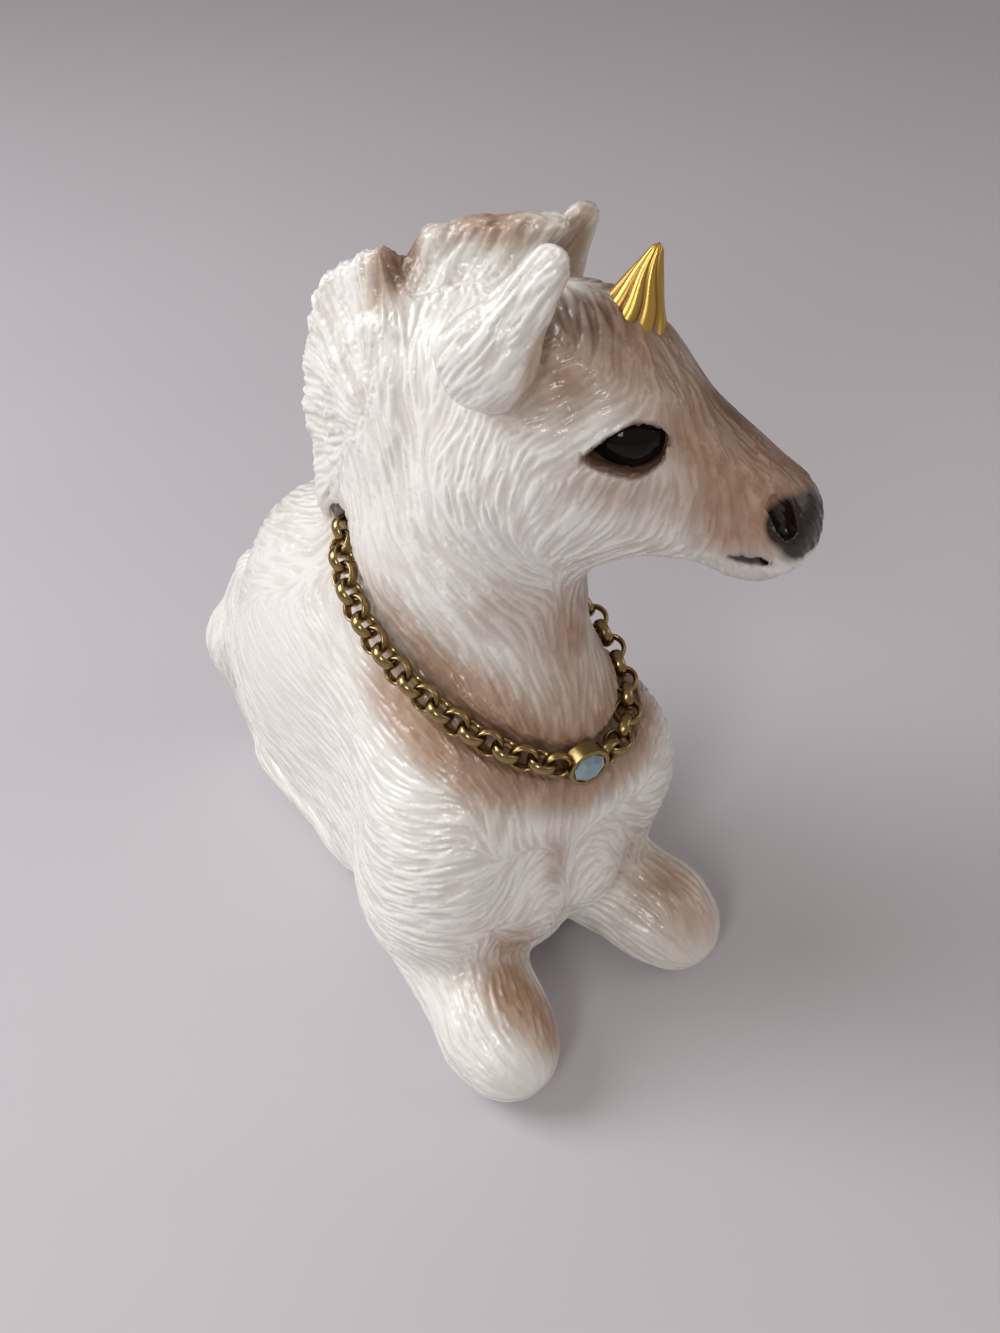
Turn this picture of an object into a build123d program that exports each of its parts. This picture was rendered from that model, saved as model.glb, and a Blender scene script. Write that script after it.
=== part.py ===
from build123d import *
import os
from math import asin, ceil, cos, pi, radians, sin

os.makedirs("parts", exist_ok=True)

# Unicorn foal lying on its chest, head turned to its left, with a loose chain round its neck.
# Millimetres, +Z up, nose end towards -Y, the foal's right side on -X.
# The origin lies on the floor under the middle of the resting pad.

# Overall body sizes
body_half_width = 20.0
body_length = 100.0
withers_height = 60.0

# Masses of the trunk: centre and half sizes as shares of half width, length and height
trunk_shares = {
    "chest": ((0.0, -0.09, 0.583), (1.0, 0.16, 0.383)),
    "left_shoulder": ((0.80, -0.17, 0.60), (0.475, 0.105, 0.225)),
    "right_shoulder": ((-0.625, -0.14, 0.50), (0.475, 0.11, 0.26)),
    "left_elbow": ((0.75, -0.13, 0.35), (0.475, 0.12, 0.20)),
    "right_elbow": ((-0.675, -0.10, 0.317), (0.45, 0.12, 0.20)),
    "left_breast": ((0.30, -0.22, 0.40), (0.325, 0.06, 0.142)),
    "right_breast": ((-0.225, -0.22, 0.417), (0.325, 0.06, 0.142)),
    "barrel": ((0.025, 0.23, 0.675), (0.85, 0.24, 0.492)),
    "belly": ((0.0, 0.05, 0.30), (0.80, 0.29, 0.36)),
    "rump": ((0.0, 0.34, 0.45), (0.725, 0.20, 0.367)),
    "left_thigh": ((0.40, 0.35, 0.333), (0.45, 0.16, 0.283)),
}

# Forelegs, folded with the knee forwards: elbow, knee and fold
foreleg_radius = 9.4
knee_radius = 7.9
fold_radius = 7.2
right_foreleg_shares = ((-0.60, -0.16, 0.192), (-0.775, -0.29, 0.137), (-0.80, -0.325, 0.12))
left_foreleg_shares = ((0.75, -0.15, 0.19), (0.95, -0.28, 0.137), (0.98, -0.315, 0.12))

# Hind legs, folded under the belly: hock, fetlock and hoof
hock_radius = 5.6
fetlock_radius = 3.9
hoof_radius = 4.3
right_hind_leg_shares = ((-0.25, 0.44, 0.095), (-0.39, 0.21, 0.07), (-0.41, 0.16, 0.075))
left_hind_leg_shares = ((0.50, 0.45, 0.095), (0.83, 0.19, 0.07), (0.86, 0.14, 0.075))

# Tail, hanging from the croup and lying on the floor behind
tail_dock_radius = 6.0
tail_radius = 7.0
tail_tip_radius = 5.0
tail_shares = ((-0.05, 0.49, 0.667), (-0.15, 0.55, 0.40), (-0.15, 0.49, 0.083))

# Neck, deeper than wide and turned with the head
neck_turn = 20.0
neck_base_depth_share = 0.205
neck_middle_depth_share = 0.148
neck_top_depth_share = 0.13
neck_base_width_share = 0.70
neck_top_width_share = 0.52
neck_shares = ((0.10, -0.035, 0.80), (0.085, -0.02, 1.233), (0.20, -0.04, 1.633))

# Head: a cranium, two cheeks and a tapering muzzle, in its own axes
head_length = 48.0
head_half_depth = 13.0
head_half_width = 12.5
head_yaw = 42.0
head_pitch = 13.0
head_roll = 5.0
head_centre_shares = (0.35, -0.11, 1.617)
cranium_shares = ((0.042, 0.192, 0.0), (0.292, 1.077, 1.0))
cheeks_shares = ((0.021, -0.808, 0.0), (0.271, 0.885, 0.76))
muzzle_root_shares = (0.146, -0.10, 0.0)
muzzle_tip_shares = (0.63, -0.49, 0.0)
muzzle_root_radius = 13.0
muzzle_tip_radius = 7.2
muzzle_flatness_share = 0.86
nostril_radius = 1.5
nostril_shares = (0.715, -0.34, 0.34)
mouth_height = 0.9
mouth_length = 9.0
mouth_shares = (0.70, -0.87)

# Eyes of dark glass, set in sockets of the head
eye_half_length = 4.6
eye_half_height = 3.4
eye_turn = 18.0
eye_thickness = 5.0
eye_dome_radius = 5.6
eye_toe = 0.25
eye_lift = 0.1
eye_shares = (0.2125, 0.285, 0.47)

# Ears, rounded outside and scooped towards the horn
ear_length = 14.0
ear_root_radius = 5.4
ear_tip_radius = 2.4
ear_flatness_share = 0.55
right_ear_root_shares = (-0.167, 0.70, 0.93)
left_ear_root_shares = (-0.10, 0.50, -0.92)
ear_lean_shares = (0.26, 0.96, 0.03)
ear_wall = 1.3
ear_toe = -0.35

# Horn, fluted and slightly curved, on a peg in the forehead
horn_length = 10.6
horn_base_radius = 4.3
horn_tip_radius = 0.6
horn_flutes = 7
horn_flute_radius = 1.0
horn_root_shares = (0.146, 1.015, 0.0)
horn_lean = 3.0
horn_peg_radius = 1.5
horn_peg_length = 5.0

# Mane: a fan of locks over the crest of the neck, longest at both ends, and a tuft behind the ears
mane_centre_shares = (-0.02, 0.035, 1.567)
mane_reach_share = 0.185
mane_spread_share = 0.03
mane_root_reach_share = 0.11
mane_lock_root_radius = 5.5
mane_lock_tip_radius = 3.2
mane_flatness_share = 0.55
mane_first_angle = -38.0
mane_last_angle = 70.0
crest_locks = 8
tuft_centre_shares = (0.07, 0.053, 1.567)
tuft_turn = 45.0
tuft_first_angle = 92.0
tuft_last_angle = 122.0
tuft_reach_share = 0.225
tuft_spread_share = 0.07
tuft_locks = 4

# Pad of felt under the trunk
felt_thickness = 1.0
felt_half_width = 9.0
felt_half_length = 15.0

# Glue gap round the eyes, the peg of the horn and the stone
glue_gap = 0.05

# Chain of rings, alternately flat on the neck and on edge
ring_outer_radius = 2.15
ring_wire_thickness = 0.75
ring_band_width = 1.5
link_pitch = 2.63
eyelet_pitch = 2.3
chain_half_width_share = 0.78
chain_half_depth_share = 0.216
chain_turn = 16.0
chain_slope = 0.535
chain_side_slope = -0.083
chain_cone_angle = 24.0
jewel_angle = -21.0
jewel_shares = (0.125, -0.265, 0.845)

# Jewel: a bezel cup with a soldered eyelet each side, and a cut stone
bezel_radius = 3.1
bezel_depth = 2.2
bezel_wall = 0.6
stone_girdle_height = 0.35
stone_crown_height = 0.7
stone_pavilion_height = 1.0
stone_table_share = 0.58
stone_culet_share = 0.2
stone_sides = 8
eyelet_distance = 4.4


# Places and solids
def body_point(shares):
    across, along, up = shares
    return Vector(across * body_half_width, along * body_length, up * withers_height)


def body_sizes(shares):
    across, along, up = shares
    return (across * body_half_width, along * body_length, up * withers_height)


def head_point(shares):
    along, up, across = shares
    return Vector(along * head_length, up * head_half_depth, across * head_half_width)


def ellipsoid(centre, sizes, seam=0):
    """An ellipsoid whose seam is turned about Z by a whole number of degrees."""
    return Pos(*centre) * scale(Rot(Z=seam) * Sphere(1), by=tuple(sizes))


def pod(start, end, start_radius, end_radius, side=(1, 0, 0), flatness=1.0):
    """A tapered capsule from start to end, flattened along side."""
    run = end - start
    length = run.length
    lean = asin((start_radius - end_radius) / length)
    low = (start_radius * cos(lean), start_radius * sin(lean))
    high = (end_radius * cos(lean), length + end_radius * sin(lean))
    low_middle = (lean - pi / 2) / 2
    high_middle = (lean + pi / 2) / 2
    foot = (start_radius * cos(low_middle), start_radius * sin(low_middle))
    crown = (end_radius * cos(high_middle), length + end_radius * sin(high_middle))
    bottom = (0, -start_radius)
    top = (0, length + end_radius)
    outline = [ThreePointArc(bottom, foot, low), Line(low, high), ThreePointArc(high, crown, top), Line(top, bottom)]
    profile = Plane.XZ * make_face(outline)
    solid = revolve(profile, Axis.Z)
    if flatness != 1.0:
        solid = scale(solid, by=(flatness, 1, 1))
    across = Vector(*side)
    upward = run.normalized()
    across = (across - upward * across.dot(upward)).normalized()
    return Plane(origin=start, x_dir=across, z_dir=upward).location * solid


def join(solids):
    return solids[0].fuse(*solids[1:]) if len(solids) > 1 else solids[0]


def largest(shape):
    return max(shape.solids(), key=lambda solid: solid.volume)


def below(level):
    """A block that fills everything below a level."""
    side = 2 * body_length
    return Pos(0, 0, level - side / 2) * Box(side, side, side)


def limb(points, radii):
    pods = [pod(points[i], points[i + 1], radii[i], radii[i + 1]) for i in range(len(points) - 1)]
    return join(pods)


def save(name, shape):
    solids = shape if isinstance(shape, list) else [largest(shape)]
    node = Compound(children=solids) if len(solids) > 1 else solids[0]
    export_step(node, f"parts/{name}.step")


# Chain: places along a sloping oval round the neck, measured from the jewel
chain_half_width = chain_half_width_share * body_half_width
chain_half_depth = chain_half_depth_share * body_length
chain_front = body_point(jewel_shares)
turn = radians(chain_turn)
forward = Vector(sin(turn), -cos(turn), 0)
sideways = Vector(cos(turn), sin(turn), 0)
loop_rise = Vector(chain_side_slope, chain_slope, 0)
loop_upward = (Vector(0, 0, 1) - loop_rise).normalized()
start_angle = radians(jewel_angle)


def oval(angle):
    flat = forward * cos(angle) * chain_half_depth + sideways * sin(angle) * chain_half_width
    return flat + Vector(0, 0, 1) * flat.dot(loop_rise)


chain_centre = chain_front - oval(start_angle)


def chain_point(angle):
    return chain_centre + oval(angle)


# Trunk
trunk_masses = []
for centre, sizes in trunk_shares.values():
    trunk_masses.append(ellipsoid(body_point(centre), body_sizes(sizes)))
trunk_form = join(trunk_masses)

# Neck: two flattened pods
neck_side = (cos(radians(neck_turn)), sin(radians(neck_turn)), 0)
neck_low, neck_middle, neck_high = [body_point(shares) for shares in neck_shares]
neck_base_depth = neck_base_depth_share * body_length
neck_middle_depth = neck_middle_depth_share * body_length
neck_top_depth = neck_top_depth_share * body_length
low_flatness = neck_base_width_share * body_half_width / neck_base_depth
high_flatness = neck_top_width_share * body_half_width / neck_top_depth
neck_pods = [
    pod(neck_low, neck_middle, neck_base_depth, neck_middle_depth, neck_side, low_flatness),
    pod(neck_middle, neck_high, neck_middle_depth, neck_top_depth, neck_side, high_flatness),
]
neck_form = join(neck_pods)

# Head axes: x towards the nose, y towards the forehead, z towards the right ear
yaw, pitch, roll = radians(head_yaw), radians(head_pitch), radians(head_roll)
nose_direction = Vector(sin(yaw) * cos(pitch), -cos(yaw) * cos(pitch), -sin(pitch))
level_side = Vector(-cos(yaw), -sin(yaw), 0)
brow_direction = nose_direction.cross(level_side) * -1
ear_side = level_side * cos(roll) + brow_direction * sin(roll)
head_place = Plane(origin=body_point(head_centre_shares), x_dir=nose_direction, z_dir=ear_side).location


def head_mass(shares):
    centre, sizes = shares
    return ellipsoid(head_point(centre), head_point(sizes), seam=180)


muzzle = pod(head_point(muzzle_root_shares), head_point(muzzle_tip_shares), muzzle_root_radius,
             muzzle_tip_radius, (0, 0, 1), muzzle_flatness_share)
head_local = join([head_mass(cranium_shares), head_mass(cheeks_shares), muzzle])

# Nostrils and the slit of the mouth
for side in (1, -1):
    along, up, across = nostril_shares
    nostril = Pos(*head_point((along, up, side * across))) * Sphere(nostril_radius)
    head_local = head_local - nostril
slit = Box(mouth_length, mouth_height, 3 * head_half_width)
slit = Pos(mouth_shares[0] * head_length, mouth_shares[1] * head_half_depth, 0) * slit
head_local = largest(head_local - slit)


def eye_seat(side):
    along, up, across = eye_shares
    centre = head_point((along, up, side * across))
    outward = Vector(eye_toe, eye_lift, side).normalized()
    along_lid = Vector(cos(radians(eye_turn)), sin(radians(eye_turn)), 0)
    return Plane(origin=centre, x_dir=along_lid - outward * along_lid.dot(outward), z_dir=outward).location


def eye_form(side):
    """A domed oval glass eye with a flat back."""
    rim = extrude(Ellipse(eye_half_length, eye_half_height), eye_thickness)
    dome = Pos(0, 0, eye_thickness - eye_dome_radius) * Sphere(eye_dome_radius)
    return eye_seat(side) * (rim & dome)


def eye_socket(side):
    """The oval hole for an eye, open outwards."""
    opening = Ellipse(eye_half_length + glue_gap, eye_half_height + glue_gap)
    return eye_seat(side) * Pos(0, 0, -glue_gap) * extrude(opening, 2 * eye_thickness)


def ear_form(side):
    root = head_point(right_ear_root_shares if side > 0 else left_ear_root_shares)
    lean_along, lean_up, lean_across = ear_lean_shares
    lean = Vector(lean_along, lean_up, side * lean_across).normalized()
    tip = root + lean * ear_length
    outward = Vector(ear_toe, 0, side).normalized()
    shell = pod(root, tip, ear_root_radius, ear_tip_radius, outward, ear_flatness_share)
    hollow_root = root + lean * ear_wall - outward * ear_root_radius * ear_flatness_share
    hollow_tip = tip - lean * ear_wall - outward * ear_tip_radius * ear_flatness_share
    hollow = pod(hollow_root, hollow_tip, ear_root_radius - ear_wall, ear_tip_radius / 2, outward, ear_flatness_share)
    return shell - hollow


# Horn: a core with a fan of flutes, flat underneath, and its peg
horn_root = head_point(horn_root_shares)
horn_axis = Vector(sin(radians(horn_lean)), cos(radians(horn_lean)), 0)
horn_tip = horn_root + horn_axis * horn_length
horn_place = Plane(origin=horn_root, z_dir=horn_axis).location
core_radius = horn_base_radius - horn_flute_radius
horn_parts = [pod(horn_root, horn_tip, core_radius, horn_tip_radius)]
for flute in range(horn_flutes):
    turn = 2 * pi * flute / horn_flutes
    offset = Vector(cos(turn), 0, sin(turn)) * core_radius
    flute_root = horn_root + offset
    flute_tip = horn_tip - horn_axis * horn_flute_radius
    horn_parts.append(pod(flute_root, flute_tip, horn_flute_radius, horn_tip_radius / 2))
underside = Pos(0, 0, -horn_length / 2) * Box(horn_length, horn_length, horn_length)
horn_form = join(horn_parts) - horn_place * underside
standing = (Align.CENTER, Align.CENTER, Align.MIN)


def horn_peg(gap):
    """The peg under the horn, from its end in the forehead up into the flutes."""
    peg = Cylinder(horn_peg_radius + gap, horn_peg_length + horn_base_radius + gap, align=standing)
    return horn_place * Pos(0, 0, -horn_peg_length - gap) * peg


horn_seat = horn_place * Cylinder(horn_base_radius + glue_gap, horn_length, align=standing)

# Mane locks fan out from a centre in the neck
mane_root_reach = mane_root_reach_share * body_length


def mane_locks(centre, turn, angles, reach_shares):
    """Locks at some angles above the level, side by side in an upright plane."""
    locks = []
    outward = Vector(-sin(radians(turn)), cos(radians(turn)), 0)
    sideways = (cos(radians(turn)), sin(radians(turn)), 0)
    for angle, reach_share in zip(angles, reach_shares):
        direction = outward * cos(radians(angle)) + Vector(0, 0, 1) * sin(radians(angle))
        root = centre + direction * mane_root_reach
        tip = centre + direction * (reach_share * body_length - mane_lock_tip_radius)
        locks.append(pod(root, tip, mane_lock_root_radius, mane_lock_tip_radius, sideways, mane_flatness_share))
    return join(locks)


def spread(first, last, count):
    return [first + (last - first) * step / (count - 1) for step in range(count)]


crest_angles = spread(mane_first_angle, mane_last_angle, crest_locks)
crest_reaches = [mane_reach_share + mane_spread_share * place ** 2 for place in spread(-1, 1, crest_locks)]
crest_form = mane_locks(body_point(mane_centre_shares), neck_turn, crest_angles, crest_reaches)
tuft_angles = spread(tuft_first_angle, tuft_last_angle, tuft_locks)
tuft_reaches = spread(tuft_reach_share, tuft_reach_share + tuft_spread_share, tuft_locks)
tuft_form = mane_locks(body_point(tuft_centre_shares), tuft_turn, tuft_angles, tuft_reaches)

# Legs and tail
foreleg_radii = (foreleg_radius, knee_radius, fold_radius)
hind_leg_radii = (hock_radius, fetlock_radius, hoof_radius)
tail_radii = (tail_dock_radius, tail_radius, tail_tip_radius)
limb_forms = {
    "right_foreleg": limb([body_point(shares) for shares in right_foreleg_shares], foreleg_radii),
    "left_foreleg": limb([body_point(shares) for shares in left_foreleg_shares], foreleg_radii),
    "right_hind_leg": limb([body_point(shares) for shares in right_hind_leg_shares], hind_leg_radii),
    "left_hind_leg": limb([body_point(shares) for shares in left_hind_leg_shares], hind_leg_radii),
    "tail": limb([body_point(shares) for shares in tail_shares], tail_radii),
}

# Each section is cut by the larger ones that it is bonded to
head_form = head_place * head_local
crest_form = largest(crest_form - neck_form - head_form)
tuft_form = largest(tuft_form - neck_form - head_form - crest_form)
sockets = [head_place * eye_socket(side) for side in (1, -1)]
head_cut = head_form.cut(neck_form, *sockets, head_place * horn_seat, head_place * horn_peg(glue_gap))

save("trunk", trunk_form - below(felt_thickness))
save("neck", join([pod_form - trunk_form for pod_form in neck_pods]))
save("head", head_cut)
save("mane_crest", crest_form)
save("forelock", tuft_form)
hind_legs = [limb_forms["right_hind_leg"], limb_forms["left_hind_leg"]]
for name, form in limb_forms.items():
    cutters = [trunk_form, *hind_legs] if name == "tail" else [trunk_form]
    save(name, form.cut(below(0), *cutters))
for name, side in (("right_ear", 1), ("left_ear", -1)):
    ear = head_place * ear_form(side)
    save(name, ear - head_form - neck_form - crest_form - tuft_form)
for name, side in (("right_eye", 1), ("left_eye", -1)):
    save(name, head_place * eye_form(side))
save("horn", head_place * horn_form.fuse(horn_peg(0)))

# Felt pad, an oval
save("felt_pad", extrude(Ellipse(felt_half_width, felt_half_length), felt_thickness))


def chain_length_table(steps=1440):
    """Running length round the oval, from the jewel, with the angle of each place."""
    table = [(0.0, start_angle)]
    for step in range(1, steps + 1):
        angle = start_angle + 2 * pi * step / steps
        before = table[-1]
        gap = (chain_point(angle) - chain_point(before[1])).length
        table.append((before[0] + gap, angle))
    return table


length_table = chain_length_table()
chain_length = length_table[-1][0]


def angle_at(distance):
    for (low, low_angle), (high, high_angle) in zip(length_table, length_table[1:]):
        if low <= distance <= high:
            return low_angle + (high_angle - low_angle) * (distance - low) / (high - low)
    return length_table[-1][1]


def chain_plane(distance):
    """Plane at a place on the chain: x along it, z out from the neck."""
    angle = angle_at(distance)
    nudge = radians(0.5)
    along = (chain_point(angle + nudge) - chain_point(angle - nudge)).normalized()
    outward = along.cross(loop_upward).normalized()
    if outward.dot(oval(angle)) < 0:
        outward = outward * -1
    cone = radians(chain_cone_angle)
    facing = outward * cos(cone) + loop_upward * sin(cone)
    return Plane(origin=chain_point(angle), x_dir=along, z_dir=facing)


wire_radius = ring_outer_radius - ring_wire_thickness / 2
ring_solid = scale(Torus(wire_radius, ring_wire_thickness / 2), by=(1, 1, ring_band_width / ring_wire_thickness))
first_link = eyelet_distance + eyelet_pitch
run = chain_length - 2 * first_link
gaps = 2 * ceil(run / link_pitch / 2)
pitch = run / gaps
rings = {"flat": [], "edge": []}
for link in range(gaps + 1):
    place = chain_plane(first_link + link * pitch).location
    if link % 2:
        rings["flat"].append(place * ring_solid)
    else:
        rings["edge"].append(place * Rot(X=90) * ring_solid)
half = len(rings["edge"]) // 2
save("left_edge_rings", rings["edge"][:half])
save("right_edge_rings", rings["edge"][half:])
half = len(rings["flat"]) // 2
save("left_flat_rings", rings["flat"][:half])
save("right_flat_rings", rings["flat"][half:])
print("chain length", round(chain_length, 2), "rings", gaps + 1, "pitch", round(pitch, 3))
print("front", chain_front, "centre", chain_centre)

# Jewel setting and stone
jewel_place = chain_plane(0).location
recess_radius = bezel_radius - bezel_wall
recess_depth = bezel_depth - bezel_wall
recess = Pos(0, 0, bezel_depth / 2) * Cylinder(recess_radius, 2 * recess_depth)
setting = jewel_place * Cylinder(bezel_radius, bezel_depth)
for distance in (eyelet_distance, chain_length - eyelet_distance):
    setting = setting + chain_plane(distance).location * ring_solid
save("jewel_setting", setting - jewel_place * recess)

stone_radius = recess_radius - glue_gap
girdle_top = bezel_depth / 2
girdle_bottom = girdle_top - stone_girdle_height


def stone_face(level, radius):
    return Pos(0, 0, level) * RegularPolygon(radius, stone_sides)


crown = loft([stone_face(girdle_top, stone_radius),
              stone_face(girdle_top + stone_crown_height, stone_radius * stone_table_share)], ruled=True)
girdle = loft([stone_face(girdle_bottom, stone_radius), stone_face(girdle_top, stone_radius)], ruled=True)
pavilion = loft([stone_face(girdle_bottom - stone_pavilion_height, stone_radius * stone_culet_share),
                 stone_face(girdle_bottom, stone_radius)], ruled=True)
save("crystal", jewel_place * join([crown, girdle, pavilion]))
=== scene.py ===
import math
import bpy
import numpy as np
from mathutils import Matrix, Vector


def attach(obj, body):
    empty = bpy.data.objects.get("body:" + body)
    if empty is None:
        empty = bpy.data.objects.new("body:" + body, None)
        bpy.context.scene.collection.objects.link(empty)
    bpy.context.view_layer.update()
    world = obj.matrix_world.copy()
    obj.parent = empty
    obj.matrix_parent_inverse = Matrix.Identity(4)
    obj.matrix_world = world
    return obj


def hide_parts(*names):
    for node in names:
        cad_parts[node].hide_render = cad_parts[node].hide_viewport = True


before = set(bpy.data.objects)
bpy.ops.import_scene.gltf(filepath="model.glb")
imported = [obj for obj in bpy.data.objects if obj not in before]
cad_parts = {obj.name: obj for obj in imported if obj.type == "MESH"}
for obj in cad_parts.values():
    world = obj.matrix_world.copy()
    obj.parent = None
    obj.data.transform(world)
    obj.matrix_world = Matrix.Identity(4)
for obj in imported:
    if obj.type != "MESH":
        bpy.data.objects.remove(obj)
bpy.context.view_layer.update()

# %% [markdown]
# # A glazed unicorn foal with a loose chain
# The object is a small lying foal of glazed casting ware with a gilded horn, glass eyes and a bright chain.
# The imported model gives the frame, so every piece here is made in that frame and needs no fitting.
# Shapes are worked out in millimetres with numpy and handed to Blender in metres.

MM = 0.001


def unit(v):
    v = np.array(v, float)
    return v / np.linalg.norm(v)


def degrees(value):
    return math.radians(value)


# %% [markdown]
# ## Camera
# The camera comes first.
# The foal was photographed from its right front, from well above, at arm's length.
# A look direction made of azimuth and elevation gives three axes, and these make the camera's rotation.
# The lens follows from how much the near parts grow against the far ones in the photograph.

# %% Camera
azimuth, elevation = degrees(-40.0), degrees(41.0)
camera_back = np.array([math.sin(azimuth) * math.cos(elevation), -math.cos(azimuth) * math.cos(elevation),
                        math.sin(elevation)])
camera_right = np.array([math.cos(azimuth), math.sin(azimuth), 0.0])
camera_up = np.cross(camera_back, camera_right)
camera_place = np.array([-93.6, -122.8, 186.0])
camera = bpy.data.objects.new("photo_camera", bpy.data.cameras.new("photo_camera"))
camera.data.sensor_fit = "AUTO"
sensor, focal_pixels, photo_height = 36.0, 1400, 1333
camera.data.sensor_width = sensor
camera.data.lens = sensor * focal_pixels / photo_height
camera.data.clip_start, camera.data.clip_end = 0.01, 20.0
rotation = Matrix(np.stack([camera_right, camera_up, camera_back], 1).tolist()).to_4x4()
camera.matrix_world = Matrix.Translation(camera_place * MM) @ rotation
bpy.context.scene.collection.objects.link(camera)
bpy.context.scene.camera = camera
print("lens", round(camera.data.lens, 2), "mm, distance", round(float(np.linalg.norm(camera_place))), "mm")

# %% [markdown]
# ## Shader expressions
# A material is easier to read as a formula than as a tangle of links.
# The class below wraps one output socket, and Python's operators on it add Math nodes.
# Plain numbers work on either side, so that 1 - mask is a fine expression.
# Every other kind of node comes from one method, which sets the node up and then feeds its sockets.

# %% A socket that can be written in formulas


class Shade:
    """One output socket of a material's node tree."""

    def __init__(self, tree, socket):
        self.tree, self.socket = tree, socket

    def node(self, kind, feeds=None, out=0, **settings):
        """Adds any node: its settings first, then values or links for its sockets."""
        made = self.tree.nodes.new(kind)
        stops = settings.pop("stops", None)
        for name, value in settings.items():
            setattr(made, name, value)
        if stops:
            ramp = made.color_ramp.elements
            while len(ramp) < len(stops):
                ramp.new(0.5)
            for element, (position, colour) in zip(ramp, stops):
                element.position, element.color = position, colour
        for name, value in (feeds or {}).items():
            if isinstance(value, Shade):
                self.tree.links.new(value.socket, made.inputs[name])
            else:
                made.inputs[name].default_value = value
        return Shade(self.tree, made.outputs[out])

    def math(self, operation, other=0.0, third=None):
        feeds = {0: self, 1: other}
        if third is not None:
            feeds[2] = third
        return self.node("ShaderNodeMath", feeds, operation=operation)

    def __add__(self, other):
        return self.math("ADD", other)

    def __mul__(self, other):
        return self.math("MULTIPLY", other)

    def __sub__(self, other):
        return self.math("SUBTRACT", other)

    def __truediv__(self, other):
        return self.math("DIVIDE", other)

    def __pow__(self, other):
        return self.math("POWER", other)

    def __radd__(self, other):
        return self.math("ADD", other)

    def __rmul__(self, other):
        return self.math("MULTIPLY", other)

    def __rsub__(self, other):
        return (self * -1.0).math("ADD", other)

    def ramp(self, low, high):
        """0 below low, 1 above high, and a straight slope between."""
        feeds = {"Value": self, "From Min": low, "From Max": high}
        return self.node("ShaderNodeMapRange", feeds, clamp=True)

    def mix(self, first, second):
        """Mixes two colours by this value."""
        return self.node("ShaderNodeMix", {0: self, 6: first, 7: second}, out=2, data_type="RGBA")


def material(name):
    """A new material with its main shader, and a Shade to start formulas from."""
    made = bpy.data.materials.new(name)
    made.use_nodes = True
    shader = made.node_tree.nodes["Principled BSDF"]
    return made, shader, Shade(made.node_tree, None)


def colour(red, green, blue):
    return (red, green, blue, 1.0)


def feed(shader, feeds):
    """Puts formulas or constants on sockets of the main shader."""
    for name, value in feeds.items():
        if isinstance(value, Shade):
            value.tree.links.new(value.socket, shader.inputs[name])
        else:
            shader.inputs[name].default_value = value


print("formulas ready")

# %% [markdown]
# ## Floor and light
# The floor is one pale sheet that curves up behind, as in a small photo studio.
# One large soft lamp stands behind the foal on its right, like the window in the photograph.
# A small one beside the camera puts glints on the glaze, and a weak warm one fills the foal's left side.
# The world gives an even pale light from all round.
# Lamps are kept at a level where a colour renders about as it is written.

# %% Floor
floor_material, shader, s = material("pale_floor")
grain = s.node("ShaderNodeTexNoise", {"Scale": 60.0, "Detail": 4.0})
feed(shader, {"Base Color": grain.mix(colour(0.60, 0.56, 0.595), colour(0.64, 0.60, 0.635)),
              "Roughness": 0.75})
half, flat_depth, bend, wall_height, steps = 2.2, 0.9, 0.6, 2.4, 24
outline = [(-half, 0.0)]
for t in range(steps + 1):
    rise = t * math.pi / 2 / steps
    outline.append((flat_depth + bend * math.sin(rise), bend - bend * math.cos(rise)))
outline.append((flat_depth + bend, wall_height))
away = np.array([-camera_back[0], -camera_back[1]]) / math.hypot(camera_back[0], camera_back[1])
across = np.array([away[1], -away[0]])
verts = [(*(away * d + across * half * side), z) for side in (-1, 1) for d, z in outline]
count = len(outline)
faces = [(k, k + 1, k + 1 + count, k + count) for k in range(count - 1)]
floor_mesh = bpy.data.meshes.new("studio_floor")
floor_mesh.from_pydata(verts, [], faces)
floor_mesh.polygons.foreach_set("use_smooth", [True] * len(faces))
floor_mesh.materials.append(floor_material)
floor = bpy.data.objects.new("studio_floor", floor_mesh)
bpy.context.scene.collection.objects.link(floor)
print("floor", len(faces), "faces")

# %% Lamps


def soft_lamp(name, place, aim, size, power, tint):
    lamp = bpy.data.objects.new(name, bpy.data.lights.new(name, "AREA"))
    lamp.data.shape = "RECTANGLE"
    lamp.data.size, lamp.data.size_y = size[0] * MM, size[1] * MM
    lamp.data.energy, lamp.data.color = power, tint
    lamp.location = Vector(place) * MM
    lamp.rotation_euler = (Vector(aim) - Vector(place)).to_track_quat("-Z", "Y").to_euler()
    bpy.context.scene.collection.objects.link(lamp)


soft_lamp("window", (-330, 330, 430), (0, 0, 45), (340, 420), 2.55, (0.97, 0.985, 1.0))
soft_lamp("fill", (330, -330, 330), (0, 0, 50), (300, 300), 0.28, (1.0, 0.90, 0.80))
soft_lamp("front", (-420, -260, 380), (0, -10, 50), (110, 200), 0.75, (1.0, 0.985, 0.96))
world_light, world_in_view = 0.33, 0.5
world = bpy.data.worlds.new("studio")
bpy.context.scene.world = world
world.use_nodes = True
s = Shade(world.node_tree, None)
background = world.node_tree.nodes["Background"]
path = s.node("ShaderNodeLightPath")
seen = Shade(path.tree, path.socket.node.outputs["Is Camera Ray"])
background.inputs["Color"].default_value = colour(0.90, 0.865, 0.83)
world.node_tree.links.new((world_light + seen * world_in_view).socket, background.inputs["Strength"])
bpy.context.scene.view_settings.view_transform = "Standard"
print("lamps and world set")

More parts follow.
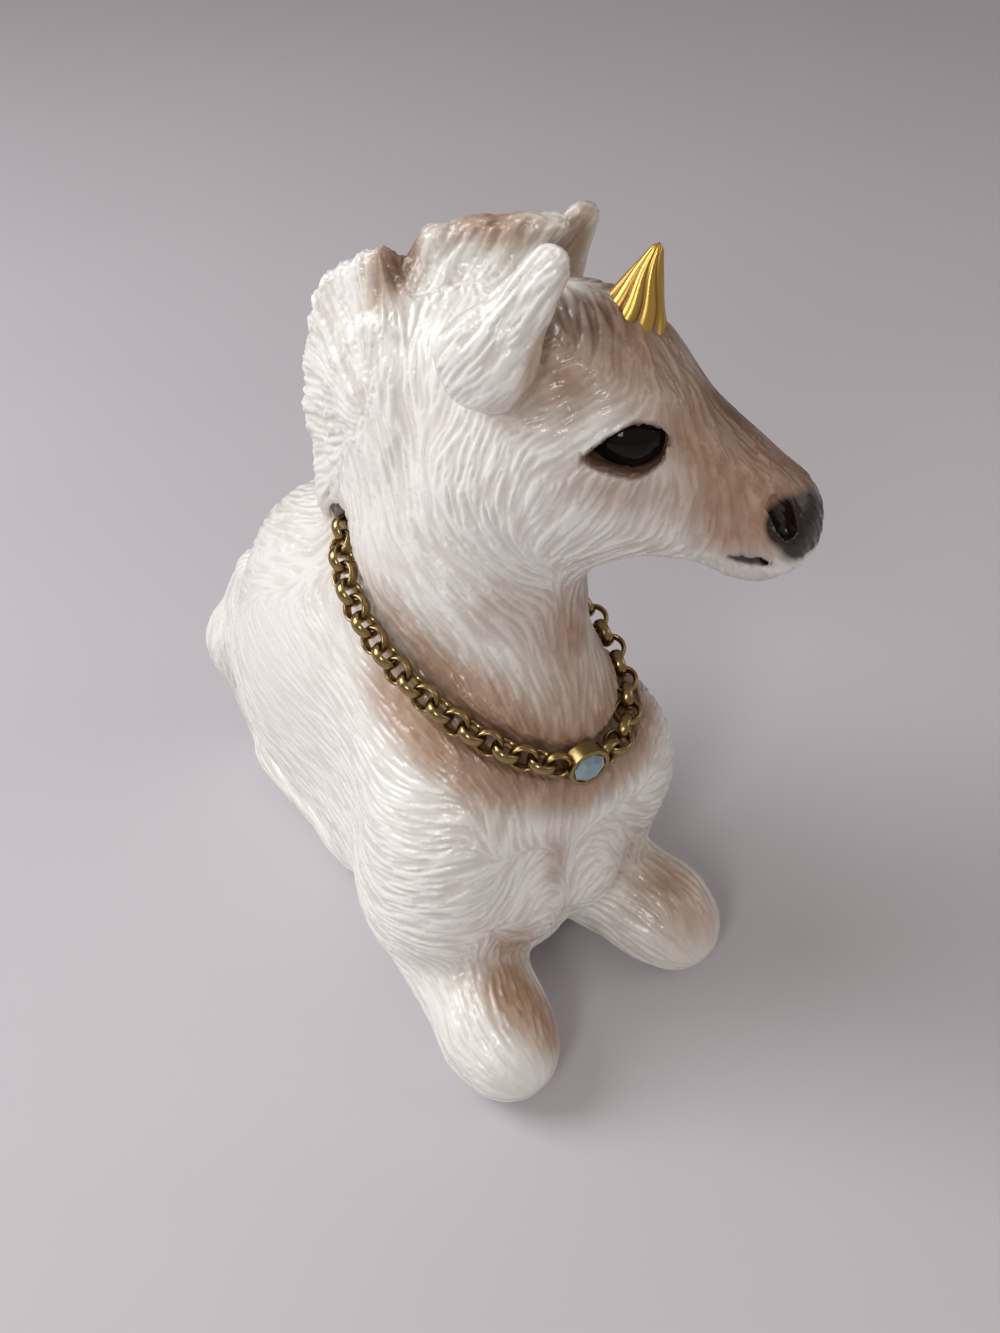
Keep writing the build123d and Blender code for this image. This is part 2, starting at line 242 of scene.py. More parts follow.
# %% [markdown]
# ## Fields: modelling with soft blobs
# A clay modeller presses lumps together and smooths the joins.
# A distance field does the same: each mass is a function that is negative inside, and a smooth minimum
# melts masses together.
# The field is sampled on a grid, and a mesh is drawn where it crosses zero.
# This suits an animal better than boxes or loops of faces, because every crease and bulge is one more mass.

# %% Field helpers
F = np.float32
low, high = np.array([-35.0, -44.0, -1.5]), np.array([38.0, 66.0, 128.0])
step = 0.5
far_off = 40.0
cells = np.ceil((high - low) / step).astype(int) + 1
ticks = [(low[k] + step * np.arange(cells[k])).astype(F) for k in range(3)]


def smooth_min(a, b, k):
    """Melts two fields together over a width of k."""
    if k <= 0:
        return np.minimum(a, b)
    h = np.maximum(k - np.abs(a - b), 0) / k
    return np.minimum(a, b) - h * h * F(k * 0.25)


def smooth_max(a, b, k):
    return -smooth_min(-a, -b, k)


def ellipsoid(centre, radii, axes=None):
    """Field of an ellipsoid, with a box outside which it doesn't matter."""
    centre, radii = np.array(centre, float), np.array(radii, float)

    def field(p):
        q = [p[k] - F(centre[k]) for k in range(3)]
        if axes is not None:
            q = [sum(F(axes[j][k]) * q[j] for j in range(3)) for k in range(3)]
        first = np.sqrt(sum((q[k] / F(radii[k])) ** 2 for k in range(3)))
        second = np.sqrt(sum((q[k] / F(radii[k] ** 2)) ** 2 for k in range(3)))
        return first * (first - 1) / np.maximum(second, F(1e-6))

    reach = radii.max()
    return field, centre - reach, centre + reach


def pod(a, b, ra, rb, side=None, flat=1.0):
    """Field of a tapered capsule from a to b, flattened along side."""
    a, b = np.array(a, float), np.array(b, float)
    along = b - a
    squared = float(along @ along)
    across = None
    if side is not None and flat != 1.0:
        across = np.array(side, float)
        across = unit(across - along * (across @ along) / squared)

    def field(p):
        p = [p[k] - F(a[k]) for k in range(3)]
        if across is not None:
            more = sum(F(across[k]) * p[k] for k in range(3)) * F(1 / flat - 1)
            p = [p[k] + F(across[k]) * more for k in range(3)]
        difference = ra - rb
        rest = squared - difference * difference
        y = sum(F(along[k]) * p[k] for k in range(3))
        z = y - F(squared)
        x2 = sum((p[k] * F(squared) - F(along[k]) * y) ** 2 for k in range(3))
        y2, z2 = y * y * F(squared), z * z * F(squared)
        edge = F(np.sign(difference) * difference * difference) * x2
        middle = (np.sqrt(x2 * F(rest / squared)) + y * F(difference)) / F(squared) - F(ra)
        far = np.sqrt(x2 + z2) / F(squared) - F(rb)
        near = np.sqrt(x2 + y2) / F(squared) - F(ra)
        beyond = np.sign(z) * F(rest) * z2 > edge
        before = np.sign(y) * F(rest) * y2 < edge
        d = np.where(beyond, far, np.where(before, near, middle))
        return d * F(max(flat, 0.4)) if across is not None else d

    reach = max(ra, rb)
    return field, np.minimum(a, b) - reach, np.maximum(a, b) + reach


def window(shape, room):
    """The part of the grid that a mass can reach, as slices and coordinates."""
    first = np.maximum(0, np.floor((shape[1] - room - low) / step).astype(int))
    last = np.minimum(cells, np.ceil((shape[2] + room - low) / step).astype(int) + 1)
    where = tuple(slice(i, j) for i, j in zip(first, last))
    points = np.meshgrid(*[ticks[k][where[k]] for k in range(3)], indexing="ij", sparse=True)
    return where, points


def add(grid, shape, k=0.0, room=3.0):
    """Melts a mass into the grid; room is how far outside its box it still counts."""
    where, points = window(shape, k + room)
    grid[where] = smooth_min(grid[where], shape[0](points).astype(F), k)


def carve(grid, shape, k=0.0):
    where, points = window(shape, k + 1.0)
    grid[where] = smooth_max(grid[where], -shape[0](points).astype(F), k)


print("grid", cells.tolist(), "at", step, "mm")

# %% [markdown]
# ## The masses of the foal
# Each group below is one part of the body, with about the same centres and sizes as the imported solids.
# A tuple holds the shape and the width over which it melts into what is already there.
# The head has its own axes: u towards the nose, v towards the forehead, w towards the foal's right.

# %% Head axes


def head_axes(yaw, pitch, roll):
    y, p, r = degrees(yaw), degrees(pitch), degrees(roll)
    u = np.array([math.sin(y) * math.cos(p), -math.cos(y) * math.cos(p), -math.sin(p)])
    side = np.array([-math.cos(y), -math.sin(y), 0.0])
    v = -np.cross(u, side)
    v = v if v[2] > 0 else -v
    w = side * math.cos(r) + v * math.sin(r)
    return np.stack([u, v * math.cos(r) - side * math.sin(r), w], 1)


neck_turn = degrees(20)
head_turn = head_axes(42.0, 13.0, 5.0)
head_origin = np.array([7.0, -11.0, 97.0])
neck_side = (math.cos(neck_turn), math.sin(neck_turn), 0.0)


def at(u, v, w):
    """A point given in the head's own axes."""
    return head_origin + head_turn @ np.array([u, v, w], float)


def way(u, v, w):
    return head_turn @ np.array([u, v, w], float)


def head_measure(p, axis):
    """How far the points p lie along one of the head's axes."""
    return sum(F(head_turn[j, axis]) * (p[j] - F(head_origin[j])) for j in range(3))


print("nose points to", np.round(head_turn[:, 0], 2).tolist())

# %% Trunk, neck and limbs
parts = {}
parts["trunk"] = [
    (ellipsoid((0, -9, 35), (20, 16, 23)), 0), (ellipsoid((16, -17, 36), (9.5, 10.5, 13.5)), 6),
    (ellipsoid((-12.5, -14, 30), (9.5, 11, 16)), 6), (ellipsoid((-13.5, -10, 19), (9, 12, 12)), 6),
    (ellipsoid((15, -13, 21), (9.5, 12, 12)), 6), (ellipsoid((0.5, 23, 40.5), (17, 24, 29.5)), 10),
    (ellipsoid((0, 5, 18), (16, 29, 21.6)), 8), (ellipsoid((0, 34, 27), (14.5, 20, 22)), 8),
    (ellipsoid((8, 35, 20), (9, 16, 17)), 5),
    (ellipsoid((-4.5, -22, 25), (6.5, 6, 8.5)), 2.5), (ellipsoid((6, -22, 24), (6.5, 6, 8.5)), 2.5)]
parts["neck"] = [
    (pod((2, -3.5, 48), (1.7, -2, 74), 20.5, 14.8, neck_side, 0.683), 0),
    (pod((1.7, -2, 74), (4, -4, 98), 14.8, 13.0, neck_side, 0.80), 6)]
parts["right_foreleg"] = [
    (pod((-12, -16, 11.5), (-15.5, -29, 8.2), 9.4, 7.9), 0),
    (pod((-15.5, -29, 8.2), (-16, -32.5, 7.2), 7.9, 7.2), 3)]
parts["left_foreleg"] = [
    (pod((15, -15, 11.4), (19, -28, 8.2), 9.4, 7.9), 0),
    (pod((19, -28, 8.2), (19.6, -31.5, 7.2), 7.9, 7.2), 3)]
parts["right_hind_leg"] = [
    (pod((-5, 44, 5.7), (-7.8, 21, 4.2), 5.6, 3.9), 0), (pod((-7.8, 21, 4.2), (-8.2, 16, 4.5), 3.9, 4.3), 2)]
parts["left_hind_leg"] = [
    (pod((10, 45, 5.7), (16.6, 19, 4.2), 5.6, 3.9), 0), (pod((16.6, 19, 4.2), (17.2, 14, 4.5), 3.9, 4.3), 2)]
parts["tail"] = [
    (pod((-1, 49, 40), (-3, 55, 24), 6, 7), 0), (pod((-3, 55, 24), (-3, 49, 5), 7, 5), 4)]
print({name: len(shapes) for name, shapes in parts.items()})

# %% [markdown]
# ## Head and ears
# The head is a round cranium, two cheeks, a tapering muzzle and a soft nose, melted together.
# The brow, the lids, the nostrils and the lips are small masses on it, or small hollows cut from it.
# Each is placed in the head's own axes, so that one line does both sides by changing the sign of w.

# %% Head masses
head_cheeks = [(ellipsoid(at(-0.5, -7.5, side * 6.2), (10.5, 9.5, 5.0), head_turn), 3) for side in (1, -1)]
head_brows = [(pod(at(4.5, 8.2, side * 10.3), at(12.5, 8.4, side * 7.8), 2.3, 1.6), 3.5) for side in (1, -1)]
parts["head"] = [
    (ellipsoid(at(2, 2.5, 0), (14, 14, 12.5), head_turn), 0),
    (ellipsoid(at(1, -10.5, 0), (13, 11.5, 9.5), head_turn), 5),
    (pod(at(6, -1.5, 0), at(29, -5.4, 0), 14.6, 7.6, way(0, 0, 1), 0.79), 6),
    (ellipsoid(at(30.5, -7, 0), (6.8, 6.6, 6.3), head_turn), 4)] + head_cheeks + head_brows
ears = {}
ear_ends = {"right_ear": ((-8, 9.3, 11.7), (-3.8, 22.3, 12)),
            "left_ear": ((-4.5, 6.5, -11.5), (-1.5, 20, -12))}
for name, (root, tip) in ear_ends.items():
    root, tip, side = np.array(root, float), np.array(tip, float), math.copysign(1, root[2])
    lean = unit(tip - root)
    outward = unit((-0.35, 0, side))
    shell = pod(at(*root), at(*tip), 5.0, 2.4, way(*outward), 0.55)
    lobe = ellipsoid(at(*(root + np.array([-0.2, 0.6, 0.3 * side]))), (5.2, 4.6, 2.4), head_turn)
    hollow_low = root + lean * 2.4 - outward * 3.3 + np.array([1.3, 0, 0])
    hollow_high = tip - lean * 0.6 - outward * 1.7 + np.array([0.6, 0, 0])
    hollow = pod(at(*hollow_low), at(*hollow_high), 3.9, 1.3, way(*outward), 0.62)
    ears[name] = [(shell, 0), (lobe, 3)], hollow
print("head masses", len(parts["head"]))

# %% [markdown]
# ## Mane
# The mane stands up as two thin fans of hair, one behind the other, with a notch between them.
# A fan is a plate round a point inside the neck: thick at the root, thin and scalloped at the edge.
# A wavy raised band runs along its foot on both faces, where short hairs turn over.

# %% Mane fans
mane_centre = np.array([-0.4, 3.5, 94.0])


def fan(centre, turn, edge, edge_half, root_half, wave):
    """Field of a plate of hair; edge lists the angles and reaches of its outer edge."""
    centre = np.array(centre, float)
    side = np.array([math.cos(degrees(turn)), math.sin(degrees(turn)), 0.0])
    outward = np.array([-side[1], side[0], 0.0])
    angles, reaches = np.radians([angle for angle, reach in edge]), [reach for angle, reach in edge]
    middle = sum(reaches) / len(reaches)

    def field(p):
        q = [p[k] - F(centre[k]) for k in range(3)]
        a = q[0] * F(outward[0]) + q[1] * F(outward[1])
        n = q[0] * F(side[0]) + q[1] * F(side[1])
        r = np.sqrt(a * a + q[2] * q[2])
        angle = np.arctan2(q[2], a)
        reach = np.interp(angle, angles, reaches).astype(F)
        rim = reach + 0.6 * np.abs(np.sin(angle * F(middle * math.pi / wave))) - 0.4
        half = edge_half + np.clip((reach - r) / (reach - 9.0), 0, 1.2) ** 1.3 * (root_half - edge_half)
        band = np.interp(angle, band_angles, band_reaches).astype(F)
        band = band + 0.7 * np.sin(angle * F(13.4 * 2 * math.pi / 4.6))
        half = half + 0.55 * np.exp(-((r - band) / 0.9) ** 2)
        d = smooth_max(np.abs(n) - half, r - rim, 1.6)
        ends = np.maximum(angles[0] - angle, angle - angles[-1]) * r
        return smooth_max(d, ends, 2.0) * F(0.9)

    reach_all = np.full(3, max(reaches) + 2.0)
    return field, centre - reach_all, centre + reach_all


band_angles, band_reaches = np.radians([-50, -13, 37, 75]), [17.0, 12.8, 11.2, 12.5]
crest_edge = [(-50, 26.5), (-33, 21.3), (-22, 20.5), (-5, 18.4), (20, 18.0), (44, 20.0), (60, 20.0),
              (80, 21.0)]
tuft_edge = [(88, 22.0), (98, 23.4), (107, 25.3), (116, 27.5), (127, 30.8)]
parts["mane_crest"] = [(fan(mane_centre, 20.0, crest_edge, 1.4, 5.6, 3.7), 0)]
parts["forelock"] = [(fan((1.4, 5.3, 94.0), 45.0, tuft_edge, 1.6, 5.0, 5.0), 0)]
print("mane reaches", max(reach for angle, reach in crest_edge + tuft_edge), "mm from its centre")

# %% [markdown]
# ## Eye sockets
# The maker set a glass eye behind modelled lids, with a long rear corner and a round front one.
# The opening is an outline seen from the side of the head: half an ellipse in front and a taper behind.
# A raised rim follows the same outline, so that rim and opening always agree.

# %% Eyes in their sockets
eye_rise = degrees(18.0)
eye_centre = np.array([10.2, 3.6, 0.0])


def lid_edge(p):
    """Signed distance to the almond outline of the lids, seen from the side of the head."""
    u, v = [head_measure(p, k) - F(eye_centre[k]) for k in (0, 1)]
    a = u * F(math.cos(eye_rise)) + v * F(math.sin(eye_rise))
    b = v * F(math.cos(eye_rise)) - u * F(math.sin(eye_rise))
    front = np.sqrt(np.maximum(1 - ((a - 0.9) / 3.7) ** 2, 0))
    rear = np.maximum(1 - ((0.9 - a) / 5.6), 0) ** 0.72
    half = F(3.15) * np.where(a > 0.9, front, np.minimum(rear, 1))
    ends = np.maximum(a - 4.6, -4.7 - a)
    return np.maximum((np.abs(b) - half) * F(0.85), ends)


def lids(side):
    inner = at(*eye_centre) + way(0, 0, 5.2 * side)
    reach_all = np.array([9.0, 9.0, 9.0])

    def opening(p):
        return np.maximum(lid_edge(p), 4.0 - side * head_measure(p, 2))

    return opening, inner - reach_all, inner + reach_all


print("eye centre", np.round(at(*eye_centre), 1).tolist())

# %% [markdown]
# ## From fields to one skin
# The neck melts widely into the chest and the mane less; the head, ears, legs and tail keep a crease.
# Each part is melted from its own masses first, so that its inner joins don't depend on its neighbours.

# %% Joining the parts
join_width = {"trunk": 0, "neck": 12, "head": 3.0, "right_foreleg": 2.5, "left_foreleg": 2.5,
              "right_hind_leg": 1.5, "left_hind_leg": 1.5, "tail": 2.0, "mane_crest": 6.0, "forelock": 3.0}
skin = np.full(tuple(cells), far_off, F)
for name, width in join_width.items():
    part = np.full(tuple(cells), far_off, F)
    for shape, k in parts[name]:
        add(part, shape, k, 13.0 if name in ("trunk", "neck") else 5.0)
    if name == "head":
        for side in (1, -1):
            opening = lids(side)
            where, points = window(opening, 0)
            ridge = np.sqrt(lid_edge(points) ** 2 + (part[where] + F(0.25)) ** 2) - F(0.75)
            ridge = np.maximum(ridge, 3.0 - side * head_measure(points, 2))
            part[where] = smooth_min(part[where], ridge, 1.0)
            carve(part, opening, 0.5)
            carve(part, ellipsoid(at(0.5, 9.0, side * 13.6), (5.0, 3.6, 3.0), head_turn), 2.5)
    skin = smooth_min(skin, part, width)
for name, (masses, hollow) in ears.items():
    part = np.full(tuple(cells), far_off, F)
    for shape, k in masses:
        add(part, shape, k)
    carve(part, hollow, 0.8)
    skin = smooth_min(skin, part, 2.4)
print("joined", len(join_width), "parts and", len(ears), "ears")

# %% [markdown]
# ## Hollows cut after the joining
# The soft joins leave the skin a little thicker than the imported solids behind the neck.
# A shallow channel along the chain's tilted oval keeps it clear of the rings, also when they are lifted.
# The nostrils are pressed in and the mouth is a thin cut, and under the trunk there is room for the felt.
# All are cut last, so that no later mass fills them again.

# %% Room for the chain
loop_turn, loop_centre = degrees(16.0), np.array([2.3, -5.6, 61.9])
loop_half_depth, loop_half_width, loop_rise, loop_side_fall = 21.6, 15.6, 0.535, 0.083
channel_radius = 2.55
loop_forward = np.array([math.sin(loop_turn), -math.cos(loop_turn), 0.0])
loop_side = np.array([math.cos(loop_turn), math.sin(loop_turn), 0.0])
chain_beads = []
for place in np.linspace(0, 2 * math.pi, 60, endpoint=False):
    flat = loop_forward * math.cos(place) * loop_half_depth + loop_side * math.sin(place) * loop_half_width
    tilt = np.array([0, 0, flat[1] * loop_rise - flat[0] * loop_side_fall])
    chain_beads.append(loop_centre + flat + tilt)
for bead, following in zip(chain_beads, chain_beads[1:] + chain_beads[:1]):
    carve(skin, pod(bead, following, channel_radius, channel_radius - 0.01), 0.8)
print("chain loop of", len(chain_beads), "short lengths kept clear")

# %% Nostrils, mouth and underside
mouth_line = [(27.2, -9.3, 7.0), (31.0, -8.9, 6.2), (35.6, -8.3, 3.2), (37.4, -8.4, 0)]
mouth_radii = [0.55, 0.6, 0.4, 0.4]


def mouth_lengths(side):
    """The mouth's line on one side, as pairs of points with a radius at each."""
    points = [at(u, v, w * side) for u, v, w in mouth_line]
    return zip(points, points[1:], mouth_radii, mouth_radii[1:])


for side in (1, -1):
    carve(skin, pod(at(30.6, -1.2, side * 5.2), at(32.6, -4.4, side * 5.0), 1.5, 1.2), 0.7)
    for start, end, start_radius, end_radius in mouth_lengths(side):
        carve(skin, pod(start, end, start_radius, end_radius), 0.4)
add(skin, ellipsoid(at(29.5, -11.6, 0), (5.6, 2.6, 4.8), head_turn), 1.0)
height = ticks[2][None, None, :]
floor_gap, felt_top = 0.15, 1.0
skin = np.maximum(skin, floor_gap - height)
under_trunk = np.full(tuple(cells), far_off, F)
for shape, k in parts["trunk"]:
    add(under_trunk, shape, k)
over_felt = (under_trunk < 0.5) & (height < felt_top)
skin = np.where(over_felt, np.maximum(skin, felt_top - height), skin)
print("carved", int((skin < 0).sum()), "cells are clay")

# %% [markdown]
# ## A mesh from the field
# Surface nets draw it: each cell that the surface crosses gets one vertex, at the mean of the crossings.
# The faces come out four-cornered and of even size, which subdivides well and carries fine relief.
# Two rounds of relaxing take out the steps of the grid before the subdivision.

# %% Surface nets


def nets(d):
    """Vertices and four-cornered faces of the surface where the field is zero."""
    inside = d < 0
    n = np.array(d.shape)
    corners = np.zeros(n - 1, np.int8)
    for i in (0, 1):
        for j in (0, 1):
            for k in (0, 1):
                corners += inside[i:n[0] - 1 + i, j:n[1] - 1 + j, k:n[2] - 1 + k]
    crossed = (corners > 0) & (corners < 8)
    cell = np.argwhere(crossed)
    number = np.full(n - 1, -1, np.int32)
    number[crossed] = np.arange(len(cell))
    total, hits = np.zeros((len(cell), 3)), np.zeros(len(cell))
    for axis in range(3):
        others = [k for k in range(3) if k != axis]
        for i in (0, 1):
            for j in (0, 1):
                start = np.zeros(3, int)
                start[others[0]], start[others[1]] = i, j
                end = start.copy()
                end[axis] = 1
                a, b = d[tuple((cell + start).T)], d[tuple((cell + end).T)]
                cut = (a < 0) != (b < 0)
                point = np.repeat(start[None].astype(float), len(cell), 0)
                point[:, axis] = np.where(cut, a / (a - b + 1e-20), 0)
                total += point * cut[:, None]
                hits += cut
    verts = (cell + total / np.maximum(hits, 1)[:, None]) * step + low
    faces = []
    for axis in range(3):
        b, c = (axis + 1) % 3, (axis + 2) % 3
        first, second = [slice(None)] * 3, [slice(None)] * 3
        first[axis], second[axis] = slice(0, n[axis] - 1), slice(1, n[axis])
        edge = np.argwhere(inside[tuple(first)] != inside[tuple(second)])
        held = (edge[:, b] > 0) & (edge[:, c] > 0) & (edge[:, b] < n[b] - 1) & (edge[:, c] < n[c] - 1)
        edge = edge[held]
        ring = []
        for db, dc in ((-1, -1), (0, -1), (0, 0), (-1, 0)):
            near = edge.copy()
            near[:, b] += db
            near[:, c] += dc
            ring.append(number[tuple(near.T)])
        ring = np.stack(ring, 1)
        outside = ~inside[tuple(edge.T)]
        ring[outside] = ring[outside][:, ::-1]
        faces.append(ring)
    return verts, np.concatenate(faces)


def mesh_of(name, verts, faces):
    """A smooth-shaded mesh from millimetre vertices and faces that all have the same number of corners."""
    mesh = bpy.data.meshes.new(name)
    count, corners = faces.shape
    mesh.vertices.add(len(verts))
    mesh.vertices.foreach_set("co", (verts * MM).astype(F).ravel())
    mesh.loops.add(faces.size)
    mesh.loops.foreach_set("vertex_index", faces.astype(np.int32).ravel())
    mesh.polygons.add(count)
    mesh.polygons.foreach_set("loop_start", np.arange(count, dtype=np.int32) * corners)
    mesh.update(calc_edges=True)
    mesh.polygons.foreach_set("use_smooth", np.ones(count, bool))
    return mesh


def linked(name, mesh, paint):
    mesh.materials.append(paint)
    made = bpy.data.objects.new(name, mesh)
    bpy.context.scene.collection.objects.link(made)
    return made


verts, faces = nets(skin)
print(len(verts), "vertices,", len(faces), "faces")

# %% Relax and subdivide
edges = np.concatenate([faces[:, [0, 1]], faces[:, [1, 2]], faces[:, [2, 3]], faces[:, [3, 0]]])
degree = np.bincount(edges.ravel(), minlength=len(verts))
for _ in range(2):
    pull = np.stack([np.bincount(edges[:, 0], verts[edges[:, 1], k], len(verts)) +
                     np.bincount(edges[:, 1], verts[edges[:, 0], k], len(verts)) for k in range(3)], 1)
    moved = 0.5 * verts + 0.5 * pull / degree[:, None]
    moved[:, 2] = np.where(verts[:, 2] < 1.3, verts[:, 2], moved[:, 2])
    verts = moved
coarse = mesh_of("glazed_foal", verts, faces)
rough = bpy.data.objects.new("glazed_foal", coarse)
bpy.context.scene.collection.objects.link(rough)
subdivide = rough.modifiers.new("subdivide", "SUBSURF")
subdivide.levels = subdivide.render_levels = 1
bpy.context.view_layer.update()
fine = bpy.data.meshes.new_from_object(rough.evaluated_get(bpy.context.evaluated_depsgraph_get()))
bpy.data.objects.remove(rough)
bpy.data.meshes.remove(coarse)
count = len(fine.vertices)
places = np.empty(count * 3, F)
fine.vertices.foreach_get("co", places)
places = places.reshape(-1, 3) / F(MM)
normals = np.empty(count * 3, F)
fine.vertex_normals.foreach_get("vector", normals)
normals = normals.reshape(-1, 3)
print("skin has", count, "vertices")

# %% [markdown]
# ## Combed hair
# The maker cut the hair into the clay in short strokes before firing, and the strokes follow the body.
# Each guide below is a place, the way the hair runs there and how far it holds.
# Every vertex takes a weighted mean of the guides near it, laid flat on the surface.
# Noise that is averaged along that direction turns into long thin strokes.

# %% Guides for the hair
# Each row holds a place, the way the hair runs there, and how far the guide reaches.
trunk_guides = [
    (-14, -2, 54, 0, -1, -0.3, 6), (-12, -10, 56, 0, -0.9, -0.5, 6), (-11, -15, 52, 0, -0.8, -0.6, 5),
    (-9, -20, 50, 0, -0.6, -0.8, 4), (-17, -4, 48, 0, -1, -0.1, 6), (-19, -10, 42, 0.1, -0.95, 0.1, 6),
    (-16, -17, 45, 0.6, -0.7, 0.3, 5), (-21, -12, 33, 0.1, -0.9, 0.2, 7),
    (-18, -20, 38, 0.7, -0.6, 0.3, 5), (-21, -16, 27, 0.3, -0.8, 0.2, 6),
    (-10, -22, 45, -0.3, -0.3, -0.9, 4), (-4, -24, 43, -0.1, -0.2, -1, 4),
    (-7, -26, 33, 0.5, 0.1, 0.8, 4), (-2, -26, 32, 0.6, 0, -0.7, 4), (-23, -22, 17, -0.1, -0.9, -0.4, 5),
    (-18, -27, 18, -0.2, -0.9, -0.5, 5), (-14, -29, 15, -0.4, -0.9, -0.3, 5),
    (-18, -36, 10, 0, -0.9, -0.4, 6), (-12, 13, 53, -0.2, -0.9, -0.4, 8),
    (-14, 23, 46, -0.2, -1, -0.2, 9), (-16, 25, 34, -0.2, -0.9, -0.3, 9), (-17, 10, 32, 0, -1, -0.2, 9),
    (-12, 44, 30, -0.2, -0.4, -0.9, 9), (0, 30, 58, 0, 1, -0.2, 12), (0, 52, 44, 0, 0.5, -0.9, 7),
    (-3, 61, 24, 0, 0, -1, 9), (-10, 54, 20, 0, 0.1, -1, 7), (-14, 35, 15, 0, -0.9, -0.3, 9)]
neck_guides = [
    (-9, 11, 85, 0, -0.3, -0.95, 6), (-12, -2, 84, 0, -0.6, -0.8, 5),
    (-10, -2, 91, -0.1, -0.3, -0.95, 5), (-9, -10, 78, 0.3, -0.7, -0.6, 5),
    (-13, -5, 72, 0.2, -0.7, -0.7, 6), (-9, -12, 66, 0.35, -0.45, -0.8, 6),
    (-2, -18, 64, 0.35, -0.25, -0.9, 4), (3.5, -21, 64, 0, -0.2, -1, 4),
    (8, -21, 60, -0.45, -0.3, -0.85, 4), (-13, 6, 72, 0, -0.4, -0.9, 6), (0, 16, 70, 0, 0.3, -0.95, 8)]
head_guides = [
    (-9, -5, 11, 0, -1, -0.1, 4), (-5, -13, 9, 0.6, -0.8, 0, 5), (2, -17, 9, 0.9, -0.4, 0, 5),
    (-2, -3, 11, -0.1, -1, 0, 4), (3, -9, 11, -0.3, -0.95, 0, 4), (7, -10, 9, -0.35, -0.9, 0, 4),
    (9, -6, 10, -0.2, -0.95, 0, 4), (14, -4, 10, -0.1, -1, 0, 4), (17, -2, 9, 0.1, -1, 0.1, 4),
    (23, -5, 7, 0.05, -1, 0, 4), (12, -13, 6, -0.7, -0.7, 0, 5), (3, 3, 13, -0.6, -0.8, 0, 3.5),
    (6, 6, 11, -0.6, -0.7, 0.3, 3.5), (0, 8, 12, -0.6, -0.5, 0, 4), (7, 12, 6, 0.2, -0.6, 0.7, 4),
    (12, 11, 3, 0.8, -0.4, 0.2, 4), (20, 4, 5, 0.8, -0.5, 0.1, 5), (27, 1, 3, 0.8, -0.5, 0, 5),
    (20, 2, 7, 0.5, -0.8, 0.2, 4), (2, 14, 3, 0.3, 0.1, 0.8, 4)]


def read_rows(table):
    return [(np.array(row[:3], float), unit(row[3:6]), row[6]) for row in table]


cosine, sine = math.cos(2 * neck_turn), math.sin(2 * neck_turn)
mirror = np.array([[-cosine, -sine, 0], [-sine, cosine, 0], [0, 0, 1]])
neck_middle = np.array([3.0, -2.0, 0.0])
guides = read_rows(neck_guides)
for p, d, r in read_rows(trunk_guides):
    guides += [(p * (side, 1, 1), d * (side, 1, 1), r) for side in (1, -1)]
for p, d, r in read_rows(neck_guides[:7] + neck_guides[9:10]):
    guides.append((mirror @ (p - neck_middle) + neck_middle, mirror @ d, r))
for p, d, r in read_rows(head_guides):
    guides += [(at(*(p * (1, 1, side))), way(*(d * (1, 1, side))), r) for side in (1, -1)]
print(len(guides), "guides")

# %% Direction of the hair at each vertex


def group_distance(name):
    d = None
    for shape, k in (ears[name][0] if name in ears else parts[name]):
        value = shape[0]([places[:, axis] for axis in range(3)])
        d = value if d is None else smooth_min(d, value, k)
    return d


near = {name: group_distance(name)
        for name in ("head", "neck", "mane_crest", "forelock", "right_ear", "left_ear")}
comb = np.zeros((count, 3), F)
for place, direction, reach in guides:
    gap = ((places - place.astype(F)) ** 2).sum(1) / F(reach * reach)
    comb += (np.exp(-gap) + F(1e-4) / (1 + gap))[:, None] * direction.astype(F)
comb /= np.linalg.norm(comb, axis=1, keepdims=True) + 1e-9


def soft_mask(d, low_edge, high_edge):
    """1 below low_edge, 0 above high_edge, smooth between."""
    t = np.clip((high_edge - d) / (high_edge - low_edge), 0, 1)
    return (t * t * (3 - 2 * t)).astype(F)


mane = np.maximum(soft_mask(near["mane_crest"], 0.5, 1.6), soft_mask(near["forelock"], 0.5, 1.6))
mane *= 1 - soft_mask(np.minimum(near["neck"], near["head"]), -0.2, 0.5)
front_mane = soft_mask(near["forelock"], 0.5, 1.6)
away = places - mane_centre.astype(F)
radial = away / np.linalg.norm(away, axis=1, keepdims=True)
swept = radial * 0.75 + np.array([0.25, -0.25, 0.5], F)
swept /= np.linalg.norm(swept, axis=1, keepdims=True)
lock = radial * (1 - front_mane)[:, None] + swept * front_mane[:, None]
comb = comb * (1 - mane)[:, None] + lock * mane[:, None]
ear_skin = np.maximum(soft_mask(near["right_ear"], 0.3, 1.0), soft_mask(near["left_ear"], 0.3, 1.0))
along_ear = way(*unit((0.4, 0.9, 0))).astype(F)
comb = comb * (1 - ear_skin)[:, None] + along_ear * ear_skin[:, None]
comb -= normals * (comb * normals).sum(1, keepdims=True)
comb /= np.linalg.norm(comb, axis=1, keepdims=True) + 1e-6
print("combed", count, "vertices")

# %% Strokes
table_size = 64
table = np.random.default_rng(7).standard_normal((table_size,) * 3).astype(F)
stroke_samples, wander_turn, wander_size = 9, 0.15, 3.5


def noise(points, size):
    """Smooth random values with lumps about size across."""
    q = points / F(size) + F(500)
    base = np.floor(q).astype(np.int32)
    f = q - base
    f = f * f * (3 - 2 * f)
    base %= table_size
    corner, share = (base, (base + 1) % table_size), (1 - f, f)
    value = 0
    for i in (0, 1):
        for j in (0, 1):
            for k in (0, 1):
                weight = share[i][:, 0] * share[j][:, 1] * share[k][:, 2]
                value = value + weight * table[corner[i][:, 0], corner[j][:, 1], corner[k][:, 2]]
    return value


